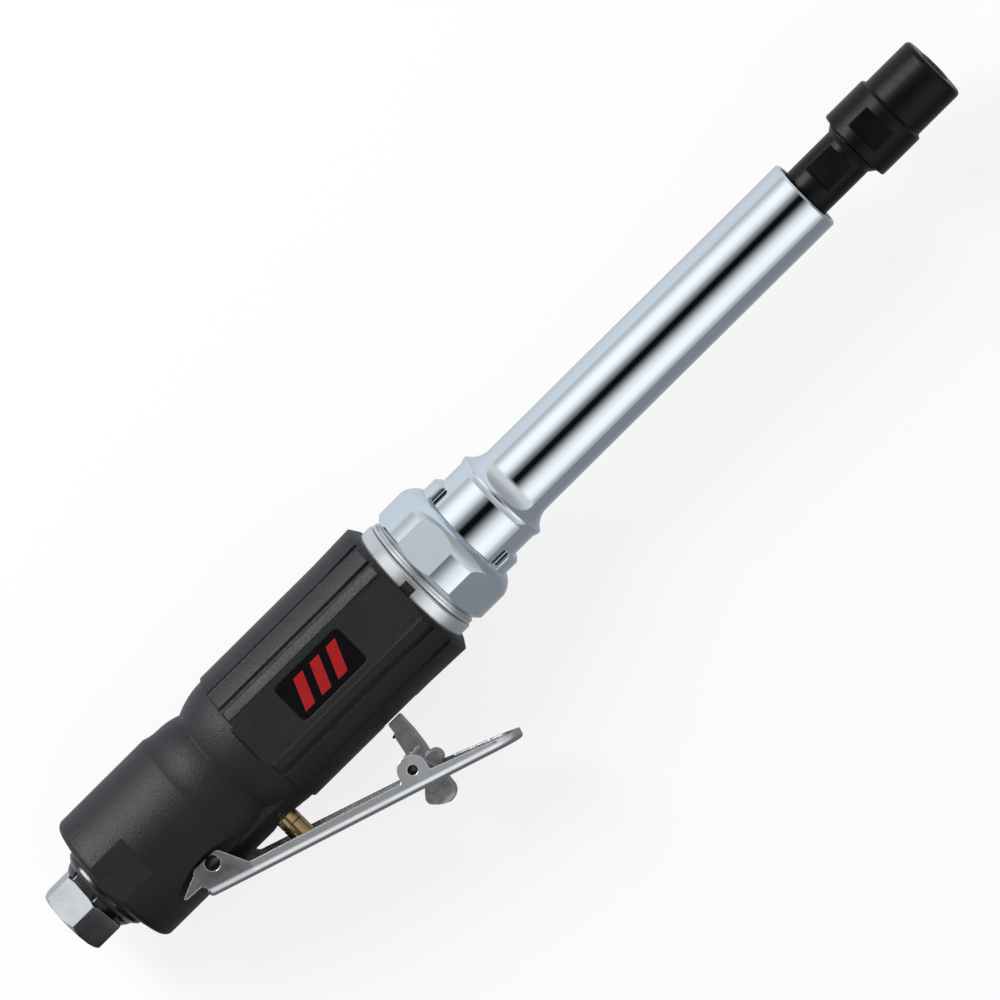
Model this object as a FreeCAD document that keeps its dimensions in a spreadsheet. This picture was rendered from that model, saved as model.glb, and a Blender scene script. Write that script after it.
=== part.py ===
import FreeCAD, Part
import math
import os
import re
import Sketcher

# Long-reach air die grinder, lying on its side. X runs along the spindle from the air inlet's rear
# face (X = 0) to the collet, Z points up through the label, and the throttle lever hangs towards -Y.

doc = FreeCAD.newDocument("die_grinder")
sheet = doc.addObject("Spreadsheet::Sheet", "Size")

# ---------------------------------------------------------------- driving dimensions, millimetres
SIZES = {
    # air inlet
    "hex_flats": 19, "hex_length": 9.2, "hex_chamfer": 1.0, "hex_turn": -23, "inlet_thread_radius": 5.6,
    "inlet_thread_length": 15, "inlet_shank_radius": 8, "inlet_shank_length": 17.8,
    "inlet_passage_radius": 4, "screen_ledge": 0.4, "screen_thickness": 0.6, "screen_hole_radius": 0.5,
    "screen_ring_pitch": 3.1, "collar_radius": 12.9, "neck_length": 4.4, "vent_radius": 0.7, "vent_count": 8,
    # handle housing, a wall round the motor
    "housing_wall": 3.6, "housing_shoulder": 3.4, "rear_length": 36.4, "waist_depth": 2.1,
    "waist_lead": 9, "waist_ease": 2.5, "waist_run": 9.6, "grip_step": 1, "grip_edge": 0.7,
    "flare_length": 14.4, "front_flare": 0.4, "front_chamfer": 1.3, "saddle_width": 24,
    "rear_flat_depth": 1, "rear_flat_length": 14.4, "panel_depth": 1.7, "panel_width": 16.2,
    "groove_radius": 0.9, "inner_groove_angle": 32.5, "outer_groove_angle": 52,
    "label_setback": 1.7, "label_length": 23.5, "label_width": 12, "label_corner": 1.6,
    "label_thickness": 0.4, "label_recess": 0.5, "key_width": 3.6, "key_length": 2.5, "key_gap": 0.1,
    # exhaust
    "silencer_inner": 9.4, "silencer_outer": 12.5, "silencer_depth": 8.9, "silencer_length": 7,
    "silencer_gap": 0.1, "exhaust_radius": 1.9, "exhaust_offset": 12.6, "exhaust_angle": 20,
    # throttle valve, square to the spindle
    "valve_offset": 1.2, "valve_bore_radius": 5, "valve_bore_depth": 9, "bushing_recess": 0.4,
    "bushing_guide_length": 5, "bushing_inner_radius": 4, "seat_outer": -9, "seat_thickness": 3,
    "seat_hole_radius": 2.6, "stem_radius": 3.25, "stem_clearance": 0.05, "stem_rest": 0.67,
    "stem_dome": 0.6, "stem_dome_width": 1.6, "stem_head_inset": 1.4, "stem_rod_radius": 1.5,
    "stem_groove_setback": 5.15, "stem_groove": 0.2, "o_ring_inset": 1.2, "o_ring_section": 0.5,
    "poppet_radius": 4.2, "poppet_thickness": 2.6, "poppet_gap": 0.05, "intake_offset": 12.5,
    "intake_radius": 1.7, "valve_spring_radius": 3.3, "valve_spring_wire": 0.35, "valve_spring_pitch": 1.9,
    # air motor
    "motor_radius": 17, "motor_inset": 0.6, "gasket_thickness": 0.8, "rear_plate_web": 3,
    "cylinder_length": 32, "plate_web": 2, "shaft_hole_radius": 5,
    "cylinder_wall": 4.4, "cylinder_offset": 1.4, "port_depth": 22, "rotor_clearance": 1.6, "rotor_gap": 0.15,
    "vane_count": 5, "vane_thickness": 2, "vane_height": 6, "vane_gap": 0.05, "dowel_radius": 1.5,
    "dowel_inset": 2.4, "dowel_setback": 2, "shaft_radius": 4, "shaft_reach": 7.5, "shaft_gap": 0.5,
    "coupling_radius": 6.5, "coupling_length": 13, "coupling_gap": 1, "fit_gap": 0.05,
    # ball bearings, 8 x 19 x 6
    "bearing_bore": 4, "bearing_outer": 9.5, "bearing_width": 6, "bearing_pitch": 6.75,
    "ball_radius": 1.6, "ball_count": 8, "race_land": 0.75, "ball_clearance": 0.05,
    # front collar, washer and clamp nut
    "collar_seat": 6.4, "collar_bore": 11, "collar_flange_step": 1.4, "collar_flange_length": 3.9,
    "washer_gap": 0.4, "washer_thickness": 0.8, "washer_width": 0.95, "nut_gap": 0.7,
    "nut_thread_length": 8, "nut_wall": 2.1, "nut_corner": 1.05, "nut_turn": -13.9, "nut_chamfer": 1.8,
    "nut_shoulder_length": 4.4, "nut_shoulder_curve": 6.5, "nut_lip_length": 3.2, "nut_lip_wall": 0.4,
    # extension tube
    "catch_length": 3.2, "catch_gap": 0.15, "catch_step": 1.5, "tube_ear_length": 5.2,
    "tube_ear_height": 1.9, "tube_ear_angle": 32, "tube_base_length": 7, "tube_lip_length": 2,
    "tube_lip_height": 0.5, "tube_neck_length": 5.8, "tube_neck_curve": 6.8, "tube_radius": 10.75,
    "tube_bore": 8.4, "tube_length": 132.5, "tube_rim": 0.5, "tube_mouth": 0.5, "bearing_inset": 0.4,
    "retainer_gap": 0.2, "retainer_length": 4, "retainer_bore": 7.7,
    # output spindle and collet
    "neck_radius": 7.3, "neck_flats": 12, "neck_flat_setback": 4.9, "neck_flat_length": 9.1,
    "neck_turn": -6, "neck_ring": 1.5, "flare_width": 1.8, "flare_radius": 8.6, "stub_radius": 7.6,
    "stub_length": 13.4, "stub_chamfer": 0.6, "taper_mouth": 5.4, "taper_root": 4.1, "taper_inset": 0.6,
    "spindle_bore": 3.4, "spindle_bore_overlap": 0.7, "sleeve_radius": 5.2,
    "collet_setback": 0.6, "collet_bore": 3.175, "collet_head_radius": 6.5, "collet_head_gap": 1.2,
    "collet_head_length": 5.4, "collet_cone_length": 4, "collet_nose_radius": 4.85, "collet_proud": 0.4,
    "collet_gap": 0.15, "slit_width": 0.8, "slit_count": 3, "slit_inset": 4.4,
    "nut_cap_gap": 0.4, "nut_cap_radius": 10.7, "nut_cap_base_length": 13.3, "nut_cap_chamfer": 0.8,
    "nut_cap_front_radius": 9.7, "nut_cap_length": 29.4, "nut_cap_edge": 1.3, "nut_cap_flats": 19,
    "nut_cap_flat_inset": 3.3, "nut_cap_flat_length": 6.9,
    # throttle lever, drawn in its own axes: along it, and away from its outer face
    "lever_pivot_setback": 10.2, "lever_pivot_inset": 5.5, "lever_angle": 17.67, "lever_face": 8.0,
    "lever_sheet": 1.5, "lever_wall": 4.0, "lever_rear": 4.6, "tail_reach": 11.2, "tail_drop": 5.0,
    "lever_ear_half": 14.7, "lever_ear_length": 9, "lever_half_at_latch": 9.7, "lever_tip_half": 7.2,
    "lever_tip_start": 79.4, "lever_edge": 1.0, "web_start": 0.5, "pin_radius": 2, "pin_wall": 0.6,
    "pin_slit": 0.9, "pin_proud": 0.1, "lug_gap": 0.2, "pocket_radius": 23.4, "pocket_gap": 1.0,
    "pocket_setback": 0.6,
    # safety latch, drawn about its own pin
    "latch_along": 57.5, "latch_above": -2.2, "ear_radius": 4.1, "latch_pin_radius": 1.35,
    "latch_pin_wall": 0.4, "latch_pin_inset": 0.1, "boss_radius": 3.2, "arm_half": 2.4, "arm_gap": 0.15,
    "arm_rib": 1.4, "arm_web_half": 1.0, "shoulder_radius": 2.3, "shoulder_half": 3.5, "paddle_half": 4,
    "paddle_edge": 1.8, "paddle_end": 13.2, "window_rear": 9.2, "window_front": 6.9, "window_half": 4.4,
    "relief_setback": 1.38, "relief_length": 12.2, "relief_depth": 1.1, "relief_half": 2.8,
    "coil_radius": 2.3, "coil_wire": 0.4, "coil_start": -7.3, "coil_length": 2.7, "coil_turns": 3,
    "leg_setback": 3.2, "coil_swing": 6,
}

# Stations and radii that follow from the sizes above, each from the piece it seats on.
STATIONS = {
    "housing_rear": "hex_length + neck_length",
    "inlet_shank_end": "hex_length + inlet_shank_length",
    "silencer_end": "housing_rear + silencer_depth",
    "rear_flat_end": "housing_rear + rear_flat_length",
    "waist_start": "housing_rear + rear_length",
    "waist_centre": "waist_start + waist_lead",
    "waist_end": "waist_centre + waist_run",
    "grip_start": "waist_end + grip_step",
    "housing_radius": "motor_radius + housing_wall",
    "waist_front_rise": "waist_depth + grip_step - grip_edge",
    "waist_front_run": "waist_run + grip_step",
    "waist_front_curve": "(waist_front_run^2 + waist_front_rise^2)/(2*waist_front_rise)",
    "waist_radius": "housing_radius - waist_depth",
    "waist_slope": "waist_depth / (waist_lead + waist_ease)",
    "grip_radius": "housing_radius + grip_step",
    "front_radius": "grip_radius + front_flare",
    "rear_flat_height": "housing_radius - rear_flat_depth",
    "panel_height": "grip_radius - panel_depth",
    "motor_start": "grip_start + motor_inset",
    "plate_start": "motor_start + gasket_thickness",
    "cylinder_start": "plate_start + bearing_width + rear_plate_web",
    "cylinder_end": "cylinder_start + cylinder_length",
    "front_plate_end": "cylinder_end + plate_web + bearing_width",
    "housing_front": "front_plate_end + collar_seat",
    "flare_start": "housing_front - flare_length",
    "label_centre": "(waist_end + housing_front)/2 - label_setback",
    "cylinder_bore_radius": "motor_radius - cylinder_wall",
    "rotor_radius": "cylinder_bore_radius - rotor_clearance",
    "dowel_offset": "motor_radius - dowel_inset",
    "rotor_shaft_end": "front_plate_end + shaft_reach",
    "spindle_start": "rotor_shaft_end + shaft_gap",
    "collar_flange_radius": "motor_radius + collar_flange_step",
    "flange_end": "housing_front + collar_flange_length",
    "nut_thread_radius": "motor_radius - fit_gap",
    "washer_start": "flange_end + washer_gap",
    "washer_radius": "nut_thread_radius + washer_width",
    "nut_rear": "washer_start + washer_thickness + nut_gap",
    "nut_thread_end": "nut_rear + nut_thread_length",
    "nut_lip_start": "nut_thread_end + catch_length",
    "nut_front": "nut_lip_start + nut_lip_length",
    "nut_shoulder_start": "nut_front - nut_shoulder_length",
    "nut_flats": "2*nut_thread_radius + nut_wall",
    "nut_radius": "nut_flats/2 + nut_corner",
    "tube_catch_radius": "nut_thread_radius - catch_gap",
    "tube_ear_radius": "tube_catch_radius - catch_step",
    "nut_lip_radius": "tube_ear_radius + nut_lip_wall",
    "tube_base_radius": "tube_ear_radius - tube_ear_height",
    "tube_lip_radius": "tube_base_radius + tube_lip_height",
    "tube_rear_bearing_at": "nut_thread_end + bearing_inset",
    "tube_ear_end": "nut_front + tube_ear_length",
    "tube_lip_start": "tube_ear_end + tube_base_length",
    "tube_lip_end": "tube_lip_start + tube_lip_length",
    "tube_neck_end": "tube_lip_end + tube_neck_length",
    "tube_front": "nut_thread_end + tube_length",
    "retainer_start": "tube_front - tube_mouth - retainer_length",
    "front_bearing_at": "retainer_start - retainer_gap - bearing_width",
    "spindle_bore_start": "tube_front - spindle_bore_overlap",
    "neck_flat_start": "tube_front + neck_flat_setback",
    "neck_flat_end": "neck_flat_start + neck_flat_length",
    "flare_from": "neck_flat_end + neck_ring",
    "flare_to": "flare_from + flare_width",
    "taper_start": "flare_to - taper_inset",
    "stub_end": "flare_to + stub_length",
    "collet_start": "flare_to + collet_setback",
    "slit_start": "collet_start + slit_inset",
    "nut_cap_start": "flare_to + nut_cap_gap",
    "nut_cap_flat_start": "nut_cap_start + nut_cap_flat_inset",
    "nut_cap_flat_end": "nut_cap_flat_start + nut_cap_flat_length",
    "nut_cap_step": "nut_cap_start + nut_cap_base_length",
    "nut_cap_end": "nut_cap_start + nut_cap_length",
    "collet_end": "nut_cap_end + collet_proud",
    "head_start": "stub_end + collet_head_gap",
    "head_end": "head_start + collet_head_length",
    "cone_end": "head_end + collet_cone_length",
    "lever_pivot_x": "waist_start - lever_pivot_setback",
    "lever_pivot_y": "lever_pivot_inset - housing_radius",
    "lug_half": "lever_ear_half - lever_sheet - lug_gap",
    "pocket_top": "-lever_pivot_y - pin_radius - pocket_gap",
    "valve_at": "waist_centre + valve_offset",
    "bushing_end": "bushing_recess - housing_radius",
    "bushing_guide_end": "bushing_end + bushing_guide_length",
    "seat_inner": "seat_outer + seat_thickness",
    "web_below_valve": "(valve_at - lever_pivot_x)*tan(lever_angle*1deg)",
    "web_depth": "(lever_face - lever_sheet)/cos(lever_angle*1deg)",
    "stem_tip": "lever_pivot_y - web_below_valve - web_depth + stem_rest",
    "stem_groove_at": "stem_tip + stem_groove_setback",
    "stem_head_end": "bushing_guide_end - stem_head_inset",
    "o_ring_at": "bushing_end + o_ring_inset",
    "latch_x": "lever_pivot_x + latch_along*cos(lever_angle*1deg) + latch_above*sin(lever_angle*1deg)",
    "latch_y": "lever_pivot_y - latch_along*sin(lever_angle*1deg) + latch_above*cos(lever_angle*1deg)",
    "arm_reach": "-latch_y - grip_radius - arm_gap",
    "coil_leg": "arm_reach - leg_setback",
    "hook_x": "coil_radius*cos(coil_swing*1deg) - (coil_leg - coil_wire*1.2)*sin(coil_swing*1deg)",
    "hook_y": "coil_radius*sin(coil_swing*1deg) + (coil_leg - coil_wire*1.2)*cos(coil_swing*1deg)",
    "relief_start": "latch_x + relief_setback",
    "relief_end": "relief_start + relief_length",
}

cells = list(SIZES.items()) + [(name, "=" + formula) for name, formula in STATIONS.items()]
for row, (name, content) in enumerate(cells, 1):
    sheet.set("A%d" % row, name)
    sheet.set("B%d" % row, str(content))
    sheet.setAlias("B%d" % row, name)
doc.recompute()


def sized(text):
    """Give each of the sheet's names in an expression the sheet's own name in front."""
    return re.sub(r"[a-z_]+", lambda found: "Size." + found.group()
                  if found.group() in SIZES or found.group() in STATIONS else found.group(), str(text))


def value(text):
    """The number an expression of the sheet's names comes to."""
    return float(sheet.evalExpression(sized(text)))


def bind(thing, **expressions):
    """Tie properties to the sheet; two underscores in a keyword stand for a dot."""
    for key, text in expressions.items():
        thing.setExpression(key.replace("__", "."), sized(text))


# ---------------------------------------------------------------- drawing helpers

ALONG = {"X": FreeCAD.Rotation(FreeCAD.Vector(0, 1, 0), 90),     # turns a thing made along Z
         "Y": FreeCAD.Rotation(FreeCAD.Vector(1, 0, 0), -90), "Z": FreeCAD.Rotation()}
FACING = {"XY": FreeCAD.Rotation(), "XZ": FreeCAD.Rotation(FreeCAD.Vector(1, 0, 0), 90),
          "YZ": FreeCAD.Rotation(FreeCAD.Vector(1, 1, 1), 120)}
NORMAL = {"XY": FreeCAD.Vector(0, 0, 1), "XZ": FreeCAD.Vector(0, -1, 0), "YZ": FreeCAD.Vector(1, 0, 0)}


def tie(sketch, kind, expression, *where):
    """Add one driving constraint whose value comes from the sheet."""
    index = sketch.addConstraint(Sketcher.Constraint(kind, *where, value(expression)))
    sketch.setExpression("Constraints[%d]" % index, sized(expression))


def draw(sketch, corners):
    """Close a line through the corners. A third entry makes the side that arrives there an arc of
    that radius, turning left when it is positive."""
    first = sketch.GeometryCount
    places = [FreeCAD.Vector(value(c[0]), value(c[1]), 0) for c in corners]
    starts, ends = [], []
    for i, corner in enumerate(corners):
        index = first + i
        here, there = places[i], places[(i + 1) % len(places)]
        arc = corners[(i + 1) % len(corners)][2:]
        if not arc:
            sketch.addGeometry(Part.LineSegment(here, there))
            starts.append((index, 1))
            ends.append((index, 2))
            continue
        radius = value(arc[0])
        middle, chord = (here + there) * 0.5, there - here
        rise = math.sqrt(max(radius ** 2 - chord.Length ** 2 / 4, 0))
        left = FreeCAD.Vector(-chord.y, chord.x, 0).normalize()
        centre = middle + left * (rise if radius > 0 else -rise)
        circle = Part.Circle(centre, FreeCAD.Vector(0, 0, 1), abs(radius))
        tail, head = (here, there) if radius > 0 else (there, here)
        angles = [math.atan2(p.y - centre.y, p.x - centre.x) for p in (tail, head)]
        sketch.addGeometry(Part.ArcOfCircle(circle, angles[0], angles[1]))
        starts.append((index, 1 if radius > 0 else 2))
        ends.append((index, 2 if radius > 0 else 1))
    for i, corner in enumerate(corners):
        follower = starts[(i + 1) % len(corners)]
        sketch.addConstraint(Sketcher.Constraint("Coincident", *ends[i], *follower))
        tie(sketch, "DistanceX", corner[0], -1, 1, *starts[i])
        tie(sketch, "DistanceY", corner[1], -1, 1, *starts[i])
        arc = corners[(i + 1) % len(corners)][2:]
        if arc:
            tie(sketch, "Radius", "abs(%s)" % arc[0], first + i)


def ring(sketch, across, up, radius):
    """Draw a circle."""
    centre = FreeCAD.Vector(value(across), value(up), 0)
    index = sketch.addGeometry(Part.Circle(centre, FreeCAD.Vector(0, 0, 1), value(radius)))
    tie(sketch, "DistanceX", across, -1, 1, index, 3)
    tie(sketch, "DistanceY", up, -1, 1, index, 3)
    tie(sketch, "Radius", radius, index)


def attached(body, name, plane):
    """A sketch on one of a Body's own origin planes."""
    sketch = body.newObject("Sketcher::SketchObject", name)
    role = plane + "_Plane"
    origin = [f for f in body.Origin.OriginFeatures if f.Role == role][0]
    sketch.AttachmentSupport = [(origin, "")]
    sketch.MapMode = "FlatFace"
    return sketch


def turned(name, outline, about="H_Axis"):
    """A Body turned from its half outline, (along, out) about X or (out, along) about Y."""
    body = doc.addObject("PartDesign::Body", name)
    sketch = attached(body, name + "_outline", "XY")
    draw(sketch, outline)
    spin = body.newObject("PartDesign::Revolution", name + "_turned")
    spin.Profile = sketch
    spin.ReferenceAxis = (sketch, [about])
    spin.Angle = 360
    return body


def tube(name, start, end, inner, outer, about="H_Axis"):
    """A plain ring or sleeve between two stations."""
    if about == "H_Axis":
        outline = [(start, inner), (end, inner), (end, outer), (start, outer)]
    else:
        outline = [(inner, start), (outer, start), (outer, end), (inner, end)]
    return turned(name, outline, about)


def rod(name, axis, radius, start, end, first="0", second="0"):
    """A cylinder along X, Y or Z between two stations; first and second place it on the other axes."""
    thing = doc.addObject("Part::Cylinder", name)
    bind(thing, Radius=radius, Height="(%s) - (%s)" % (end, start))
    thing.Placement.Rotation = ALONG[axis]
    x, y, z = {"X": (start, first, second), "Y": (first, start, second), "Z": (first, second, start)}[axis]
    bind(thing, Placement__Base__x=x, Placement__Base__y=y, Placement__Base__z=z)
    return thing


def box(name, x, y, z):
    """A box between two values on each axis."""
    thing = doc.addObject("Part::Box", name)
    bind(thing, Length="(%s) - (%s)" % (x[1], x[0]), Width="(%s) - (%s)" % (y[1], y[0]),
         Height="(%s) - (%s)" % (z[1], z[0]), Placement__Base__x=x[0], Placement__Base__y=y[0],
         Placement__Base__z=z[0])
    return thing


def prism(name, plane, low, high, *outlines):
    """Closed outlines on a plane, drawn out between two heights along its normal."""
    sketch = doc.addObject("Sketcher::SketchObject", name + "_outline")
    sketch.Placement = FreeCAD.Placement(FreeCAD.Vector(), FACING[plane])
    for outline in outlines:
        if len(outline) == 3 and not isinstance(outline[0], tuple):
            ring(sketch, *outline)
        else:
            draw(sketch, outline)
    thing = doc.addObject("Part::Extrusion", name)
    thing.Base = sketch
    thing.DirMode = "Custom"
    thing.Dir = NORMAL[plane]
    thing.Solid = True
    bind(thing, LengthFwd=high, LengthRev="-(%s)" % low)
    return thing


def join(name, *things):
    """Fuse solids into one."""
    whole = doc.addObject("Part::MultiFuse", name)
    whole.Shapes = list(things)
    return whole


def overlap(name, *things):
    """Keep what all the solids share."""
    whole = doc.addObject("Part::MultiCommon", name)
    whole.Shapes = list(things)
    return whole


def cut(name, base, *tools):
    """Take tools away from a solid."""
    whole = doc.addObject("Part::Cut", name)
    whole.Base = base
    whole.Tool = tools[0] if len(tools) == 1 else join(name + "_tools", *tools)
    return whole


def group(name, *things):
    """Separate like solids kept as one node."""
    whole = doc.addObject("Part::Compound", name)
    whole.Links = list(things)
    return whole


def polar(out, angle):
    """Across and up of a point at a distance from the spindle and an angle from +Y towards +Z."""
    return "(%s)*cos((%s)*1deg)" % (out, angle), "(%s)*sin((%s)*1deg)" % (out, angle)


def hexagon(flats, turn):
    """A hexagon across its flats, one flat facing +Z turned by an angle about X."""
    return [polar("(%s)/2/cos(30deg)" % flats, "%d + (%s)" % (60 * i, turn)) for i in range(6)]


def spokes(half, inner, outer, count, first=90):
    """Rectangles that stand out from the spindle like spokes."""
    outlines = []
    for i in range(count):
        angle = first + 360.0 / count * i
        corners = [("-(%s)" % half, inner), (half, inner), (half, outer), ("-(%s)" % half, outer)]
        turn = "%.6g" % (angle - 90)
        outlines.append([
            ("(%s)*cos(%s*1deg) - (%s)*sin(%s*1deg)" % (a, turn, b, turn),
             "(%s)*sin(%s*1deg) + (%s)*cos(%s*1deg)" % (a, turn, b, turn)) for a, b in corners])
    return outlines


def rounded(thing, name, radius, wanted):
    """Round the edges that a test picks."""
    doc.recompute()
    fillet = doc.addObject("Part::Fillet", name)
    fillet.Base = thing
    size = value(radius)
    fillet.Edges = [(i + 1, size, size) for i, edge in enumerate(thing.Shape.Edges) if wanted(edge)]
    return fillet


pieces = []


def piece(thing, label):
    """Count a finished object as a sub-part; its label names its file."""
    thing.Label = label
    pieces.append(thing)
    return thing


# ---------------------------------------------------------------- air inlet

screen_radius = "inlet_thread_radius - screen_ledge"
screen_end = "inlet_thread_length + screen_thickness"
inlet_turned = turned("inlet_turned", [
    (0, "inlet_thread_radius"), ("inlet_thread_length", "inlet_thread_radius"),
    ("inlet_thread_length", screen_radius), (screen_end, screen_radius),
    (screen_end, "inlet_passage_radius"), ("inlet_shank_end", "inlet_passage_radius"),
    ("inlet_shank_end", "inlet_shank_radius"), ("hex_length", "inlet_shank_radius"),
    ("hex_length", "hex_flats/2 + hex_chamfer*0.3"), ("hex_length - hex_chamfer*0.5", "hex_flats/2/cos(30deg)"),
    ("hex_chamfer", "hex_flats/2/cos(30deg)"), (0, "hex_flats/2 + hex_chamfer*0.15")])
inlet_hex = prism("inlet_hex", "YZ", "0", "hex_length", hexagon("hex_flats", "hex_turn"))
inlet_shank = rod("inlet_shank", "X", "inlet_shank_radius", "hex_length", "inlet_shank_end")
piece(overlap("inlet_bushing", inlet_turned, join("inlet_stock", inlet_hex, inlet_shank)), "inlet_bushing")

screen_holes = [("0", "0", "screen_hole_radius")]
for ring_number, count in ((1, 6), (2, 12)):
    for i in range(count):
        across, up = polar("%d*screen_ring_pitch*screen_hole_radius" % ring_number, 360 / count * i)
        screen_holes.append((across, up, "screen_hole_radius"))
piece(cut("inlet_screen", rod("screen_disc", "X", screen_radius, "inlet_thread_length", screen_end),
          prism("screen_mesh", "YZ", "inlet_thread_length - 1", screen_end + " + 1", *screen_holes)),
      "inlet_screen")

neck_collar_turned = turned("neck_collar_turned", [
    ("hex_length", "inlet_shank_radius"), ("housing_rear", "inlet_shank_radius"),
    ("housing_rear", "collar_radius"), ("housing_rear - 1.0", "collar_radius"),
    ("housing_rear - 1.9", "collar_radius - 0.9"), ("housing_rear - 2.4", "collar_radius - 1.6"),
    ("hex_length + 1.1", "collar_radius - 1.9"), ("hex_length", "collar_radius - 2.6")])
vents = [polar("(silencer_inner + silencer_outer)/2", 360 / SIZES["vent_count"] * i) + ("vent_radius",)
         for i in range(SIZES["vent_count"])]
piece(cut("neck_collar", neck_collar_turned,
          prism("neck_vents", "YZ", "hex_length - 1", "housing_rear + 1", *vents)), "neck_collar")

piece(tube("silencer_ring", "silencer_end - silencer_length", "silencer_end - 0.5",
           "silencer_inner + silencer_gap", "silencer_outer - silencer_gap"), "silencer_ring")

# ---------------------------------------------------------------- handle housing

# The waist's two rear arcs meet on a shared tangent, as an S-curve of one slope.
waist_reach = "(waist_lead*0.5 + waist_ease)"
waist_turn = "waist_centre - " + waist_reach
bend = "(%s*(1 + waist_slope^2)/(2*waist_slope))"

housing_turned = turned("housing_turned", [
    ("housing_rear", 0), ("motor_start", 0), ("motor_start", "motor_radius"),
    ("housing_front", "motor_radius"), ("housing_front", "front_radius - front_chamfer*1.5"),
    ("housing_front - front_chamfer", "front_radius"), ("flare_start", "grip_radius"),
    ("grip_start + 0.4", "grip_radius"), ("grip_start", "grip_radius - grip_edge"),
    ("waist_centre", "waist_radius", "waist_front_curve"),
    (waist_turn, "waist_radius + %s*waist_slope" % waist_reach, bend % waist_reach),
    ("waist_start - waist_ease", "housing_radius", "-" + bend % "waist_lead*0.5"),
    ("housing_rear + housing_shoulder", "housing_radius"),
    ("housing_rear + housing_shoulder*0.55", "housing_radius - 1.1", 1.9), ("housing_rear", "collar_radius")])
saddle = overlap("saddle", rod("saddle_round", "X", "housing_radius", "waist_start - 3", "grip_start"),
                 box("saddle_width_box", ("waist_start - 3", "grip_start"),
                     ("-housing_radius - 1", "-10"), ("-saddle_width/2", "saddle_width/2")))
key_box = [box("key_%s" % side, ("housing_front - 0.5", "housing_front + key_length - key_gap"),
               ("-key_width/2 + key_gap", "key_width/2 - key_gap"), heights)
           for side, heights in (("top", ("motor_radius", "collar_flange_radius")),
                                 ("base", ("-collar_flange_radius", "-motor_radius")))]
solid = join("housing_solid", housing_turned, saddle, *key_box)

passages = [rod("inlet_socket", "X", "inlet_shank_radius", "housing_rear - 1", "inlet_shank_end"),
            rod("inlet_passage", "X", "inlet_passage_radius", "inlet_shank_end - 1", "valve_at"),
            tube("silencer_room", "housing_rear - 1", "silencer_end", "silencer_inner", "silencer_outer"),
            rod("valve_bore", "Y", "valve_bore_radius", "-grip_radius", "valve_bore_depth", "valve_at"),
            rod("intake_passage", "X", "intake_radius", "valve_at", "motor_start + 1", "-intake_offset")]
exhaust_places = [polar("exhaust_offset", "%s*exhaust_angle" % sign) for sign in ("1", "-1")]
passages += [rod("exhaust_passage_%d" % i, "X", "exhaust_radius", "silencer_end - 2", "motor_start + 1", y, z)
             for i, (y, z) in enumerate(exhaust_places)]

flats = []
for side, sign in (("top", ""), ("base", "-")):
    def heights(low, high, sign=sign):
        return (low, high) if not sign else ("-(%s)" % high, "-(%s)" % low)
    flats.append(box("rear_flat_" + side, ("housing_rear - 1", "rear_flat_end"),
                     ("-housing_radius", "housing_radius"), heights("rear_flat_height", "grip_radius + 2")))
    flats.append(box("panel_" + side, ("waist_end", "housing_front + 0.01"),
                     ("-panel_width/2", "panel_width/2"), heights("panel_height", "grip_radius + 2")))
    base = 90 if not sign else 270
    for which in ("inner_groove_angle", "outer_groove_angle"):
        for hand in ("+", "-"):
            y, z = polar("grip_radius + 0.1", "%d %s %s" % (base, hand, which))
            flats.append(rod("%s_%s_%s" % (which[:5], side, {"+": "rear", "-": "fore"}[hand]), "X",
                             "groove_radius", "waist_end", "housing_front + 1", y, z))

half_label, half_width = "label_length/2", "label_width/2"
label_outline = [
    ("label_centre - %s + label_corner" % half_label, "-" + half_width, "label_corner"),
    ("label_centre + %s - label_corner" % half_label, "-" + half_width),
    ("label_centre + %s" % half_label, "-%s + label_corner" % half_width, "label_corner"),
    ("label_centre + %s" % half_label, "%s - label_corner" % half_width),
    ("label_centre + %s - label_corner" % half_label, half_width, "label_corner"),
    ("label_centre - %s + label_corner" % half_label, half_width),
    ("label_centre - %s" % half_label, "%s - label_corner" % half_width, "label_corner"),
    ("label_centre - %s" % half_label, "-%s + label_corner" % half_width)]
label_floor = "panel_height - label_recess"
recess = prism("label_recess_cut", "XY", label_floor, "grip_radius + 2", label_outline)

pivot = ("lever_pivot_x", "lever_pivot_y")
pocket_y = "-pocket_top - pocket_radius"
lever_cuts = [rod("ear_pocket_top", "Z", "pocket_radius", "lug_half", "housing_radius + 1",
                  "lever_pivot_x - pocket_setback", pocket_y),
              rod("ear_pocket_base", "Z", "pocket_radius", "-housing_radius - 1", "-lug_half",
                  "lever_pivot_x - pocket_setback", pocket_y),
              rod("pin_hole", "Z", "pin_radius", "-housing_radius", "housing_radius", *pivot),
              box("latch_relief", ("relief_start", "relief_end"),
                  ("-grip_radius - 2", "-grip_radius + relief_depth"), ("-relief_half", "relief_half"))]
piece(cut("handle_housing", solid, *passages, *flats, recess, *lever_cuts), "handle_housing")
label_face = label_floor + " + label_thickness"
piece(prism("label_plate", "XY", label_floor, label_face, label_outline), "label_plate")

pin_reach = "lever_ear_half + pin_proud"
piece(cut("lever_pin", rod("lever_pin_solid", "Z", "pin_radius", "-(%s)" % pin_reach, pin_reach, *pivot),
          rod("lever_pin_bore", "Z", "pin_radius - pin_wall", "-lever_ear_half - 1", "lever_ear_half + 1", *pivot),
          box("lever_pin_slit", ("lever_pivot_x", "lever_pivot_x + pin_radius + 1"),
              ("lever_pivot_y - pin_slit/2", "lever_pivot_y + pin_slit/2"),
              ("-lever_ear_half - 1", "lever_ear_half + 1"))), "lever_pin")

# ---------------------------------------------------------------- throttle valve, across the handle


def at_valve(thing):
    """Stand a piece that was made on the Y axis at the valve's station."""
    bind(thing, Placement__Base__x="valve_at")
    return thing


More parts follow.
